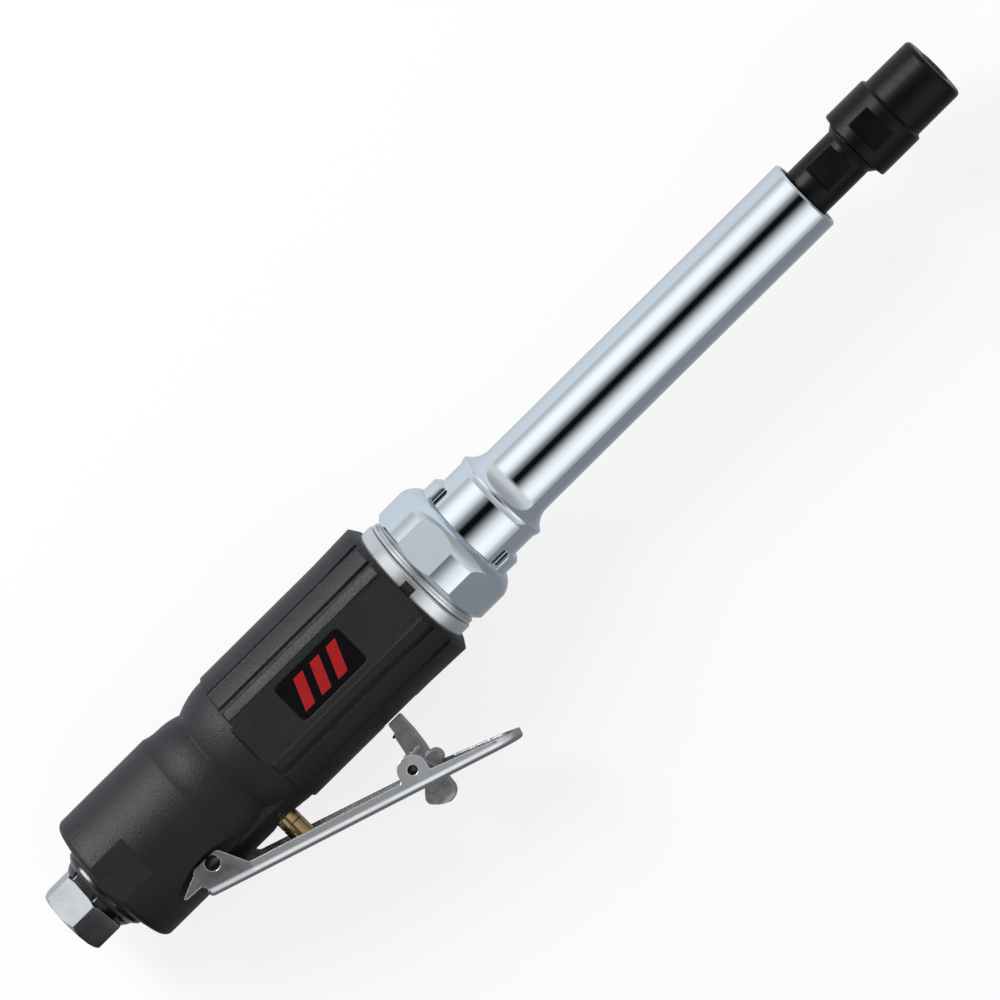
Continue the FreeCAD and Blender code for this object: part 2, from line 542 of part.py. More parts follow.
guide = "stem_radius + stem_clearance"
bushing = turned("valve_bushing_turned", [
    (guide, "bushing_end"), ("valve_bore_radius", "bushing_end"), ("valve_bore_radius", "seat_outer"),
    ("bushing_inner_radius", "seat_outer"), ("bushing_inner_radius", "bushing_guide_end"),
    (guide, "bushing_guide_end")], "V_Axis")
piece(at_valve(cut("valve_bushing", bushing, rod("bushing_port", "X", "intake_radius", "0",
                                                 "valve_bore_radius + 1", "-intake_offset"))), "valve_bushing")
piece(at_valve(tube("valve_seat", "seat_outer", "seat_inner", "seat_hole_radius", "valve_bore_radius",
                    "V_Axis")), "valve_seat")
ring_floor = "stem_radius - o_ring_section*2"
piece(at_valve(turned("valve_stem", [
    (0, "stem_tip"), ("stem_radius - stem_dome_width", "stem_tip"), ("stem_radius", "stem_tip + stem_dome", 2.6),
    ("stem_radius", "stem_groove_at - stem_groove"), ("stem_radius - stem_groove", "stem_groove_at"),
    ("stem_radius", "stem_groove_at + stem_groove"), ("stem_radius", "o_ring_at - o_ring_section"),
    (ring_floor, "o_ring_at - o_ring_section"), (ring_floor, "o_ring_at + o_ring_section"),
    ("stem_radius", "o_ring_at + o_ring_section"), ("stem_radius", "stem_head_end"),
    ("stem_rod_radius", "stem_head_end"), ("stem_rod_radius", "seat_inner + poppet_gap + poppet_thickness"),
    (0, "seat_inner + poppet_gap + poppet_thickness")], "V_Axis")), "valve_stem")
o_ring = doc.addObject("Part::Torus", "stem_o_ring")
o_ring.Placement.Rotation = ALONG["Y"]
bind(o_ring, Radius1="stem_radius - o_ring_section", Radius2="o_ring_section",
     Placement__Base__x="valve_at", Placement__Base__y="o_ring_at")
piece(o_ring, "stem_o_ring")
piece(at_valve(tube("valve_poppet", "seat_inner + poppet_gap", "seat_inner + poppet_gap + poppet_thickness",
                    "stem_rod_radius", "poppet_radius", "V_Axis")), "valve_poppet")


def coil(name, radius, wire, pitch, length):
    """A wire wound along Z from the origin."""
    path = doc.addObject("Part::Helix", name + "_path")
    bind(path, Pitch=pitch, Height=length, Radius=radius)
    section = doc.addObject("Part::Circle", name + "_section")
    section.Placement.Rotation = FreeCAD.Rotation(FreeCAD.Vector(1, 0, 0), 90)
    bind(section, Radius=wire, Placement__Base__x=radius)
    wound = doc.addObject("Part::Sweep", name)
    wound.Sections = [section]
    wound.Spine = (path, ["Edge1"])
    wound.Solid = True
    wound.Frenet = True
    return wound


spring_floor = "seat_inner + poppet_gap + poppet_thickness + valve_spring_wire*1.6"
valve_spring = coil("valve_spring", "valve_spring_radius", "valve_spring_wire", "valve_spring_pitch",
                    "valve_bore_depth - valve_spring_wire*1.6 - (%s)" % spring_floor)
valve_spring.Placement.Rotation = ALONG["Y"]
bind(valve_spring, Placement__Base__x="valve_at", Placement__Base__y=spring_floor)
piece(valve_spring, "valve_spring")

# ---------------------------------------------------------------- vane motor

through = [rod("%s_through" % where, "X", radius, "motor_start - 1", end, y, z)
           for where, radius, end, y, z in (
               ("intake", "intake_radius", "cylinder_start + port_depth", "-intake_offset", "0"),
               ("exhaust_top", "exhaust_radius", "cylinder_start + port_depth", *exhaust_places[0]),
               ("exhaust_base", "exhaust_radius", "cylinder_start + port_depth", *exhaust_places[1]))]
dowel_y, dowel_z = polar("dowel_offset", 90)
dowel_hole = rod("dowel_hole", "X", "dowel_radius", "motor_start - 1", "front_plate_end", dowel_y, dowel_z)
gasket_bore = rod("gasket_bore", "X", "bearing_outer - 1", "motor_start - 1", "plate_start")
piece(cut("rear_gasket", rod("gasket_disc", "X", "motor_radius", "motor_start", "plate_start"),
          gasket_bore, *through), "rear_gasket")
piece(cut("rear_end_plate", turned("rear_plate_turned", [
    ("plate_start", "bearing_outer"), ("plate_start + bearing_width", "bearing_outer"),
    ("plate_start + bearing_width", "shaft_hole_radius"), ("cylinder_start", "shaft_hole_radius"),
    ("cylinder_start", "motor_radius"), ("plate_start", "motor_radius")]),
    *[doc.copyObject(t, True) for t in through], doc.copyObject(dowel_hole, True)), "rear_end_plate")
cylinder_bore = rod("cylinder_bore", "X", "cylinder_bore_radius", "cylinder_start - 1",
                    "cylinder_end + 1", "cylinder_offset")
piece(cut("motor_cylinder", rod("cylinder_round", "X", "motor_radius", "cylinder_start", "cylinder_end"),
          cylinder_bore, *[doc.copyObject(t, True) for t in through], doc.copyObject(dowel_hole, True)),
      "motor_cylinder")
piece(cut("front_end_plate", turned("front_plate_turned", [
    ("cylinder_end", "shaft_hole_radius"), ("cylinder_end + plate_web", "shaft_hole_radius"),
    ("cylinder_end + plate_web", "bearing_outer"), ("front_plate_end", "bearing_outer"),
    ("front_plate_end", "motor_radius"), ("cylinder_end", "motor_radius")]), dowel_hole), "front_end_plate")
piece(rod("alignment_dowel", "X", "dowel_radius", "plate_start + dowel_setback",
          "front_plate_end - dowel_setback", dowel_y, dowel_z), "alignment_dowel")

rotor_start = "cylinder_start + rotor_gap"
rotor_end = "cylinder_end - rotor_gap"
rotor_turned = turned("rotor_turned", [
    ("plate_start + rotor_gap", 0), ("rotor_shaft_end", 0), ("rotor_shaft_end", "shaft_radius"),
    (rotor_end, "shaft_radius"), (rotor_end, "rotor_radius"), (rotor_start, "rotor_radius"),
    (rotor_start, "shaft_radius"), ("plate_start + rotor_gap", "shaft_radius")])
vane_root = "rotor_radius - vane_height"
piece(cut("rotor", rotor_turned, prism("rotor_slots", "YZ", rotor_start + " - 1", rotor_end + " + 1", *spokes(
    "vane_thickness/2", vane_root + " - vane_gap", "rotor_radius + 1", SIZES["vane_count"]))), "rotor")
piece(prism("rotor_vanes", "YZ", rotor_start, rotor_end, *spokes(
    "vane_thickness/2 - vane_gap", vane_root, "rotor_radius - vane_gap*2", SIZES["vane_count"])), "rotor_vanes")


def ball_bearing(name, start):
    """A deep-groove ball bearing as its two rings and its balls, from its rear face."""
    middle = "(%s) + bearing_width/2" % start
    groove = "ball_radius + ball_clearance"
    mouth = "sqrt((%s)^2 - (%s)^2)"
    for side, edge, sign in (("outer", "bearing_outer", "+"), ("inner", "bearing_bore", "-")):
        land = "bearing_pitch %s race_land" % sign
        reach = mouth % (groove, "race_land")
        corners = [(start, edge), ("(%s) + bearing_width" % start, edge),
                   ("(%s) + bearing_width" % start, land), ("(%s) + %s" % (middle, reach), land),
                   ("(%s) - %s" % (middle, reach), land, ("%s" if sign == "+" else "-(%s)") % groove),
                   (start, land)]
        piece(turned("%s_%s_ring" % (name, side), corners), "%s_%s_ring" % (name, side))
    balls = []
    for i in range(SIZES["ball_count"]):
        ball = doc.addObject("Part::Sphere", "%s_ball_%d" % (name, i + 1))
        y, z = polar("bearing_pitch", 360 / SIZES["ball_count"] * i)
        bind(ball, Radius="ball_radius", Placement__Base__x=middle, Placement__Base__y=y, Placement__Base__z=z)
        balls.append(ball)
    piece(group(name + "_balls", *balls), name + "_balls")


ball_bearing("rear_bearing", "plate_start")
ball_bearing("front_bearing", "cylinder_end + plate_web")
piece(tube("drive_coupling", "front_plate_end + coupling_gap",
           "front_plate_end + coupling_gap + coupling_length",
           "shaft_radius", "coupling_radius"), "drive_coupling")

# ---------------------------------------------------------------- front collar, washer and clamp nut

collar_turned = turned("front_collar_turned", [
    ("front_plate_end", "collar_bore"), ("nut_thread_end", "collar_bore"),
    ("nut_thread_end", "nut_thread_radius"), ("flange_end + 0.3", "nut_thread_radius"),
    ("flange_end + 0.3", "collar_flange_radius - 1"), ("flange_end", "collar_flange_radius - 0.4"),
    ("flange_end - 0.4", "collar_flange_radius"), ("housing_front", "collar_flange_radius"),
    ("housing_front", "motor_radius"), ("front_plate_end", "motor_radius")])
notch_span = ("housing_front - 0.01", "housing_front + key_length")
notches = [box("key_notch_top", notch_span, ("-key_width/2", "key_width/2"), ("motor_radius", "grip_radius")),
           box("key_notch_base", notch_span, ("-key_width/2", "key_width/2"), ("-grip_radius", "-motor_radius"))]
piece(cut("front_collar", collar_turned, *notches), "front_collar")
piece(tube("nut_washer", "washer_start", "washer_start + washer_thickness", "nut_thread_radius",
           "washer_radius"), "nut_washer")

nut_round = turned("nut_turned", [
    ("nut_rear", "nut_thread_radius"), ("nut_lip_start", "nut_thread_radius"),
    ("nut_lip_start", "tube_ear_radius"), ("nut_front", "tube_ear_radius"), ("nut_front", "nut_lip_radius"),
    ("nut_shoulder_start", "nut_radius", "nut_shoulder_curve"), ("nut_rear + nut_chamfer", "nut_radius"),
    ("nut_rear", "nut_radius - nut_chamfer")])
nut_hexagon = prism("nut_hexagon", "YZ", "nut_rear - 1", "nut_front + 1", hexagon("nut_flats", "nut_turn"))
nut_bar = rod("nut_bar", "X", "nut_thread_radius", "nut_rear - 1", "nut_front + 1")
piece(overlap("clamp_nut", nut_round, join("nut_stock", nut_hexagon, nut_bar)), "clamp_nut")

# ---------------------------------------------------------------- extension tube with its bearings

rear_room = "tube_rear_bearing_at + bearing_width"
tube_turned = turned("tube_turned", [
    ("nut_thread_end", "bearing_outer"), (rear_room, "bearing_outer"), (rear_room, "tube_bore"),
    ("front_bearing_at", "tube_bore"), ("front_bearing_at", "bearing_outer"),
    ("tube_front", "bearing_outer"), ("tube_front", "tube_radius - tube_rim"),
    ("tube_front - tube_rim", "tube_radius"), ("tube_neck_end", "tube_radius"),
    ("tube_lip_end", "tube_lip_radius", "-tube_neck_curve"), ("tube_lip_end - 0.5", "tube_lip_radius"),
    ("tube_lip_start", "tube_base_radius", 5), ("tube_ear_end", "tube_base_radius"),
    ("tube_ear_end", "tube_ear_radius - 1"), ("tube_ear_end - 1", "tube_ear_radius"),
    ("nut_lip_start", "tube_ear_radius"), ("nut_lip_start", "tube_catch_radius"),
    ("nut_thread_end", "tube_catch_radius")])
tube_sides = []
for side, first, second in (("top", "tube_ear_angle", "180 - tube_ear_angle"),
                            ("base", "180 + tube_ear_angle", "-tube_ear_angle")):
    beyond = prism("tube_side_wedge_" + side, "YZ", "nut_front - nut_lip_length*0.1", "tube_ear_end + 0.1",
                   [("0", "0"), polar("nut_radius*2", first), polar("nut_radius*2", second)])
    core = rod("tube_side_core_" + side, "X", "tube_base_radius", "nut_lip_start", "tube_lip_start")
    tube_sides.append(cut("tube_side_" + side, beyond, core))
piece(cut("extension_tube", tube_turned, *tube_sides), "extension_tube")
ball_bearing("tube_rear_bearing", "tube_rear_bearing_at")
ball_bearing("tube_front_bearing", "front_bearing_at")
piece(tube("bearing_retainer", "retainer_start", "retainer_start + retainer_length", "retainer_bore",
           "bearing_outer"), "bearing_retainer")

# ---------------------------------------------------------------- output spindle

neck_start = "front_bearing_at + bearing_width"
spindle_turned = turned("spindle_turned", [
    ("spindle_start", 0), ("spindle_bore_start", 0), ("spindle_bore_start", "spindle_bore"),
    ("taper_start", "spindle_bore"), ("taper_start", "taper_root"), ("stub_end", "taper_mouth"),
    ("stub_end", "stub_radius - stub_chamfer"), ("stub_end - stub_chamfer", "stub_radius"), ("flare_to", "stub_radius"),
    ("flare_to", "flare_radius"), ("flare_from", "neck_radius"),
    (neck_start, "neck_radius"), (neck_start, "shaft_radius"), ("spindle_start", "shaft_radius")])
neck_sides = prism("neck_sides", "YZ", "neck_flat_start", "neck_flat_end", *spokes(
    "neck_radius + 1", "neck_flats/2", "neck_radius + 2", 2))
neck_sides.Placement.Rotation.Axis = FreeCAD.Vector(1, 0, 0)
bind(neck_sides, Placement__Rotation__Angle="neck_turn")
piece(cut("output_spindle", spindle_turned, neck_sides), "output_spindle")
piece(tube("spacer_sleeve", "tube_rear_bearing_at + bearing_width", "front_bearing_at", "shaft_radius",
           "sleeve_radius"), "spacer_sleeve")

# ---------------------------------------------------------------- collet and collet nut

taper_slope = "(taper_mouth - taper_root)/(stub_end - taper_start)"
collet_round = turned("collet_turned", [
    ("collet_start", "collet_bore"), ("collet_end", "collet_bore"),
    ("collet_end", "collet_nose_radius - 0.4"), ("collet_end - 0.4", "collet_nose_radius"),
    ("cone_end", "collet_nose_radius"), ("head_end", "collet_head_radius"), ("head_start", "collet_head_radius"),
    ("head_start", "taper_mouth - collet_gap*2"), ("stub_end", "taper_mouth - collet_gap"),
    ("collet_start", "taper_mouth - collet_gap - (stub_end - collet_start)*%s" % taper_slope)])
slits = prism("collet_slits", "YZ", "slit_start", "collet_end + 1", *spokes(
    "slit_width/2", "0", "collet_head_radius + 1", SIZES["slit_count"]))
piece(cut("collet", collet_round, slits), "collet")

cap_inside = "stub_radius + fit_gap"
cap_round = turned("collet_nut_turned", [
    ("nut_cap_start", cap_inside), ("stub_end + 0.6", cap_inside),
    ("stub_end + 0.6", "collet_head_radius + collet_gap"), ("head_end", "collet_head_radius + collet_gap"),
    ("cone_end", "collet_nose_radius + collet_gap"), ("nut_cap_end", "collet_nose_radius + collet_gap"),
    ("nut_cap_end", "nut_cap_front_radius - nut_cap_edge"),
    ("nut_cap_end - nut_cap_edge", "nut_cap_front_radius", "nut_cap_edge"),
    ("nut_cap_step + nut_cap_chamfer", "nut_cap_front_radius"), ("nut_cap_step", "nut_cap_radius"),
    ("nut_cap_start + 0.3", "nut_cap_radius"), ("nut_cap_start", "nut_cap_radius - 0.3")])
cap_sides = prism("collet_nut_sides", "YZ", "nut_cap_flat_start", "nut_cap_flat_end", *spokes(
    "nut_cap_radius", "nut_cap_flats/2", "nut_cap_radius + 1", 2))
piece(cut("collet_nut", cap_round, cap_sides), "collet_nut")

# ---------------------------------------------------------------- throttle lever, a pressed channel

web_in = "lever_sheet - lever_face"
wall_top = "lever_wall - lever_face"
tip_top = "lever_wall*0.62 - lever_face"
tip_end = "lever_tip_start + lever_tip_half + 1"
ear_left, ear_right = "latch_along - ear_radius", "latch_along + ear_radius"
lever_side = prism("lever_side", "XY", "-lever_ear_half", "lever_ear_half", [
    ("-lever_rear + 1.4", "-lever_face", 1.4), (tip_end, "-lever_face"), (tip_end, tip_top),
    (ear_right + " + 0.6", wall_top), (ear_right, wall_top + " + 0.6", -0.7),
    (ear_right, "latch_above"), ("latch_along", "latch_above + ear_radius", "ear_radius"),
    (ear_left, "latch_above", "ear_radius"), (ear_left, wall_top + " + 0.6"),
    (ear_left + " - 0.6", wall_top, -0.7), ("lever_ear_length + 0.8", wall_top),
    ("lever_ear_length - 0.8", wall_top + " + 0.7", -1.8), ("3.4", "pin_radius - 0.1"),
    ("1.6", "pin_radius + 0.6", 1.6), ("-pin_radius*1.8", "pin_radius - 1"), ("-tail_reach*0.55", "-0.9", 2.6),
    ("-tail_reach*0.8", "-tail_drop*0.64"), ("-tail_reach", "-tail_drop - 0.2"),
    ("-tail_reach + 0.7", "-tail_drop - 0.7"),
    ("-lever_rear - 0.8", "-tail_drop + 0.6"), ("-lever_rear", "-tail_drop - 0.2"),
    ("-lever_rear", "-lever_face + 1.4")])


def lever_plan(name, low, high, inset):
    """The lever seen from the handle, drawn in by an inset all round."""
    ear, latch, tip = ("lever_ear_half - (%s)" % inset, "lever_half_at_latch - (%s)" % inset,
                       "lever_tip_half - (%s)" % inset)
    rear = "-tail_reach - 1"
    return prism(name, "XZ", low, high, [
        (rear, "-(%s)" % ear), ("lever_ear_length", "-(%s)" % ear), ("latch_along", "-(%s)" % latch),
        ("lever_tip_start", "-(%s)" % tip), ("lever_tip_start + %s" % tip, "0", tip),
        ("lever_tip_start", tip, tip), ("latch_along", latch),
        ("lever_ear_length", ear), (rear, ear)])


lever_outside = overlap("lever_outside", lever_side, lever_plan("lever_plan", "-8", "lever_face + 1", "0"))
floor_height = -value("lever_face")
lever_rounded = rounded(lever_outside, "lever_rounded", "lever_edge", lambda edge: (
    abs(edge.BoundBox.YMin - floor_height) < 0.01 and abs(edge.BoundBox.YMax - floor_height) < 0.01
    and edge.BoundBox.ZLength < edge.BoundBox.XLength))
lever_inside = lever_plan("lever_inside", "-8", "-(%s)" % web_in, "lever_sheet")
window = box("latch_window", ("latch_along - window_rear", "latch_along + window_front"),
             ("-lever_face - 1", "0"), ("-window_half", "window_half"))
web_rear = box("web_rear", ("-tail_reach - 1", "web_start"), ("-lever_face - 1", "-lever_face/2"),
               ("-lever_ear_half + lever_sheet", "lever_ear_half - lever_sheet"))
lever = cut("throttle_lever", lever_rounded, lever_inside, window, web_rear,
            rod("lever_pin_holes", "Z", "pin_radius + fit_gap", "-lever_ear_half - 1", "lever_ear_half + 1"),
            rod("latch_pin_holes", "Z", "latch_pin_radius", "-lever_ear_half", "lever_ear_half",
                "latch_along", "latch_above"))


def on_lever(thing):
    """Turn a piece from the lever's own axes to its rest pose."""
    thing.Placement.Rotation.Axis = FreeCAD.Vector(0, 0, 1)
    bind(thing, Placement__Rotation__Angle="-lever_angle", Placement__Base__x="lever_pivot_x",
         Placement__Base__y="lever_pivot_y")
    return thing


piece(on_lever(lever), "throttle_lever")
latch_spot = ("latch_along", "latch_above")
latch_pin_half = "lever_half_at_latch - latch_pin_inset"
piece(on_lever(cut("latch_pin", rod("latch_pin_solid", "Z", "latch_pin_radius", "-(%s)" % latch_pin_half,
                                    latch_pin_half, *latch_spot),
                   rod("latch_pin_bore", "Z", "latch_pin_radius - latch_pin_wall", "-lever_ear_half",
                       "lever_ear_half", *latch_spot))), "latch_pin")

# ---------------------------------------------------------------- safety latch and its spring

arm = prism("latch_arm", "XY", "-arm_half", "arm_half", [
    ("0.2", "boss_radius - 0.8"), ("3.4", "-4.1"), ("4.6", "-4.1"), ("6.1", "arm_reach*0.2"),
    ("6.7", "arm_reach*0.56"), ("6.9", "arm_reach - 0.5"), ("6.3", "arm_reach", 0.7), ("3.1", "arm_reach"),
    ("2.6", "arm_reach - 0.5", 0.7), ("hook_x + 1.0", "hook_y + 0.9"), ("hook_x + 0.1", "hook_y - 0.9")])
arm_hollows = [prism("arm_hollow_" + side, "XY", low, high, [
    ("0", "boss_radius"), ("6.1 - arm_rib", "boss_radius"), ("6.6 - arm_rib", "arm_reach*0.56"),
    ("6.8 - arm_rib", "arm_reach + 1"), ("0", "arm_reach + 1")])
    for side, low, high in (("top", "arm_web_half", "arm_half + 1"), ("base", "-arm_half - 1", "-arm_web_half"))]
boss = rod("latch_boss", "Z", "boss_radius", "-paddle_half", "paddle_half")
paddle = prism("latch_paddle", "XY", "-paddle_half", "paddle_half", [
    ("-1.6", "-2.4"), ("-1.3", "-5.4"), ("-3.3", "-7.4", 9), ("-3.2", "-10.4", 1.9), ("0.9", "-13.1", 9),
    ("4.0", "-10.4", 3.4), ("4.3", "-7.2"), ("4.6", "-4.1"), ("3.2", "0")])
paddle_soft = overlap("latch_paddle_soft", paddle, prism("paddle_sides", "YZ", "-ear_radius - 2", "ear_radius + 2", [
    ("-paddle_end", "-paddle_half + paddle_edge"), ("-paddle_end + paddle_edge", "-paddle_half", "paddle_edge"),
    ("0", "-paddle_half"), ("0", "paddle_half"), ("-paddle_end + paddle_edge", "paddle_half"),
    ("-paddle_end", "paddle_half - paddle_edge", "paddle_edge")]))
shoulder = rod("latch_shoulder", "Z", "shoulder_radius", "-shoulder_half", "shoulder_half", "5.4", "-1.9")
latch_body = join("latch_body", cut("latch_arm_ribbed", arm, *arm_hollows), boss, shoulder, paddle_soft)
latch = cut("safety_latch", latch_body, rod("latch_bore", "Z", "latch_pin_radius + fit_gap",
                                            "-paddle_half - 1", "paddle_half + 1"))


def on_latch(thing, height="0"):
    """Carry a piece drawn about the latch's pin to where that pin lies at rest."""
    bind(thing, Placement__Base__x="latch_x", Placement__Base__y="latch_y", Placement__Base__z=height)
    return thing


piece(on_latch(latch), "safety_latch")
winding = coil("latch_coil", "coil_radius", "coil_wire", "coil_length/coil_turns", "coil_length")
leg_wire = "coil_wire*1.05"
arm_leg = rod("spring_arm_leg", "Y", leg_wire, "-0.3", "coil_leg", "coil_radius", "coil_length")
hook = rod("spring_hook", "Z", "coil_wire", "coil_length", "-coil_start", "coil_radius",
           "coil_leg - coil_wire*1.2")
web_leg = rod("spring_web_leg", "Y", leg_wire, "-coil_radius*1.3", "0.3", "coil_radius", "0")
spring = join("latch_spring", winding, arm_leg, hook, web_leg)
spring.Placement.Rotation.Axis = FreeCAD.Vector(0, 0, 1)
bind(spring, Placement__Rotation__Angle="coil_swing")
piece(on_latch(spring, "coil_start"), "latch_spring")

# ---------------------------------------------------------------- checks and files

doc.recompute()
failed = [thing.Name for thing in doc.Objects if "Invalid" in thing.State or "Error" in thing.State]
failed += [thing.Label for thing in pieces if thing.Shape.isNull() or not thing.Shape.isValid()
           or not thing.Shape.Solids]
if failed:
    raise RuntimeError("not built: " + ", ".join(failed))

os.makedirs("parts", exist_ok=True)
for thing in pieces:
    thing.Shape.exportStep("parts/%s.step" % thing.Label)
print("%d sub-parts written" % len(pieces))
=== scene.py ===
import math
import bpy
import numpy as np
from mathutils import Matrix, Vector


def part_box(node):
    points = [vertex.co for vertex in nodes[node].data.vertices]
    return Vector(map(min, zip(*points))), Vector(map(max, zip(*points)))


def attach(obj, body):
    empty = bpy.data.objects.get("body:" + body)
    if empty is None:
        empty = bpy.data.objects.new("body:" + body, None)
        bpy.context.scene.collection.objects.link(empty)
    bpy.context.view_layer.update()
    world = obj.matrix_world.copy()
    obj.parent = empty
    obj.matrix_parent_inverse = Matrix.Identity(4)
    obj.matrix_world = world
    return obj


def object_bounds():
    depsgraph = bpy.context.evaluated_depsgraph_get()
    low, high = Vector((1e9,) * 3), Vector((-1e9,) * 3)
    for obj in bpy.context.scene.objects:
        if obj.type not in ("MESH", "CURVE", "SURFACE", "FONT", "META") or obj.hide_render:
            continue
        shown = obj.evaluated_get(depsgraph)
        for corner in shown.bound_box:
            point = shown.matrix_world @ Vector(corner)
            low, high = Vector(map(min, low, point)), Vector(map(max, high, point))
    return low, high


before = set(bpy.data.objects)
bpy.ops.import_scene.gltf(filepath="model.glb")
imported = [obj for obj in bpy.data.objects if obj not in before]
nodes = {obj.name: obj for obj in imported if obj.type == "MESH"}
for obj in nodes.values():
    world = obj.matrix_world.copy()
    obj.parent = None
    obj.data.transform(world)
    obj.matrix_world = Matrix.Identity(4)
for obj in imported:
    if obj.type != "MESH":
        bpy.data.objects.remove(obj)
cad_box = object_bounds()

# ---------------------------------------------------------------- camera, floor and light
# A studio table seen from above: a long lens three metres up, a pale matt floor that the tool lies on,
# and a tent of white cloth with a gap overhead for the lens, which is the dark line down the chrome.


def add(tree, kind, settings=None, stops=(), **links):
    """Add one node; settings are its properties, links its inputs: a socket is joined, a value is set.
    An input is written as its name with _ for a space, or as in0, in1 for its number. The stops of a
    colour ramp are places from 0 to 1, each with a grey."""
    node = tree.nodes.new("ShaderNode" + kind)
    for number, (place, shade) in enumerate(stops):
        bar = node.color_ramp.elements
        stop = bar[number] if number < 2 else bar.new(place)
        stop.position = place
        stop.color = (shade, shade, shade, 1.0)
    for key, setting in (settings or {}).items():
        setattr(node, key, setting)
    for key, given in links.items():
        numbered = key[:2] == "in" and key[2:].isdigit()
        socket = node.inputs[int(key[2:]) if numbered else key.replace("_", " ")]
        if isinstance(given, bpy.types.NodeSocket):
            tree.links.new(given, socket)
        else:
            socket.default_value = given
    return node


def bare_tree(owner):
    """The empty node tree of a material or a world."""
    owner.use_nodes = True
    owner.node_tree.nodes.clear()
    return owner.node_tree


def srgb(code):
    """An sRGB hex colour as linear red, green, blue and alpha."""
    parts = np.array([int(code[i:i + 2], 16) for i in (1, 3, 5)]) / 255
    linear = np.where(parts <= 0.04045, parts / 12.92, ((parts + 0.055) / 1.055) ** 2.4)
    return (*linear.tolist(), 1.0)


def set_out(name, data):
    """A mesh, a light or a camera as an object in the scene."""
    thing = bpy.data.objects.new(name, data)
    bpy.context.scene.collection.objects.link(thing)
    return thing


# the lens looks a little from the tip's side, and the tool lies aslant in the picture
aim = Vector((0.1592, -0.0006, 0.0))
tilt, roll, distance = math.radians(6.3), math.radians(44.73), 3.0
sensor_mm, view_width = 36, 0.2617
camera = set_out("camera", bpy.data.cameras.new("camera"))
bpy.context.scene.camera = camera
back = Vector((math.sin(tilt), 0, math.cos(tilt)))
level = Vector((0, 1, 0)).cross(back).normalized()
side = level * math.cos(roll) - back.cross(level) * math.sin(roll)
rise = back.cross(side)
camera.matrix_world = Matrix((
    (side.x, rise.x, back.x, 0),
    (side.y, rise.y, back.y, 0),
    (side.z, rise.z, back.z, 0),
    (0, 0, 0, 1)))
camera.location = aim + back * distance
camera.data.sensor_width = sensor_mm
camera.data.lens = sensor_mm * distance / view_width
camera.data.clip_start, camera.data.clip_end = 0.05, 100

# pale matt paper: to the eye an even near-white with a faint shadow under the tool
reach, height = 30.0, cad_box[0].z
paper_glow = 0.82
floor_mesh = bpy.data.meshes.new("floor")
floor_mesh.from_pydata(
    [(-reach, -reach, height), (reach, -reach, height), (reach, reach, height), (-reach, reach, height)],
    [], [(0, 1, 2, 3)])
floor = set_out("floor", floor_mesh)
matt = bpy.data.materials.new("pale_matt_floor")
tree = bare_tree(matt)
seen = add(tree, "LightPath").outputs["Is Camera Ray"]
cloth = add(tree, "BsdfDiffuse", Color=srgb("#DADADC"))
glow = add(tree, "Emission", Color=srgb("#FFFFFF"), Strength=1.0)
lit = add(tree, "Math", {"operation": "MULTIPLY"}, in0=seen, in1=paper_glow)
paper = add(tree, "MixShader", Fac=lit.outputs[0], in1=cloth.outputs[0], in2=glow.outputs[0])
# in reflections the paper is a glow painted from bright at +Y to dim at -Y: a painted pool of the key light
# on the +Y side and painted shade on the -Y side
across = add(tree, "SeparateXYZ", Vector=add(tree, "TexCoord").outputs["Object"]).outputs["Y"]
painted_light_falloff = add(tree, "MapRange", {"interpolation_type": "SMOOTHSTEP"}, Value=across,
           From_Min=-0.05, From_Max=0.06, To_Min=0.31, To_Max=0.95)
# painted light: the glow that only reflections see, its strength from the painted falloff
painted_reflected_glow = add(tree, "Emission", Color=srgb("#F0F3FA"), Strength=painted_light_falloff.outputs[0])
mirrored = add(tree, "LightPath").outputs["Is Glossy Ray"]
ground = add(tree, "MixShader", Fac=mirrored, in1=paper.outputs[0], in2=painted_reflected_glow.outputs[0])
add(tree, "OutputMaterial", Surface=ground.outputs[0])
floor_mesh.materials.append(matt)

# the tent: its ramp runs round the tool's axis, from underneath over -Y, the top (0.5) and +Y back again
tent_greys = ((0.15, 0.17), (0.235, 0.27), (0.275, 0.50), (0.313, 0.92), (0.36, 1.0), (0.41, 0.75),
              (0.44, 0.40), (0.47, 0.09), (0.488, 0.004), (0.522, 0.004), (0.56, 0.29), (0.588, 0.70),
              (0.622, 1.0), (0.665, 1.0), (0.725, 0.50), (0.77, 0.48), (0.815, 0.90), (0.88, 0.60))
plain_cloth, tent_power = 0.62, 1.3
world = bpy.data.worlds.new("studio")
bpy.context.scene.world = world
tree = bare_tree(world)
heading = add(tree, "SeparateXYZ", Vector=add(tree, "TexCoord").outputs["Generated"])
turn = add(tree, "Math", {"operation": "ARCTAN2"}, in0=heading.outputs["Y"], in1=heading.outputs["Z"])
place = add(tree, "MapRange", Value=turn.outputs[0], From_Min=-math.pi, From_Max=math.pi)
cloth_tent = add(tree, "ValToRGB", stops=tent_greys, Fac=place.outputs[0])
# the gap overhead is only as long as the lens needs: to both sides of it the cloth goes on
slope = add(tree, "Math", {"operation": "ADD"}, in0=heading.outputs["X"], in1=math.sin(tilt))
aside = add(tree, "Math", {"operation": "ABSOLUTE"}, in0=slope.outputs[0])
gap = add(tree, "MapRange", {"interpolation_type": "SMOOTHSTEP"}, Value=aside.outputs[0],
          From_Min=0.10, From_Max=0.32, To_Min=1.0, To_Max=0.0)
tent = add(tree, "Mix", {"data_type": "RGBA"}, Factor=gap.outputs[0],
           in6=(plain_cloth, plain_cloth, plain_cloth, 1.0), in7=cloth_tent.outputs["Color"])
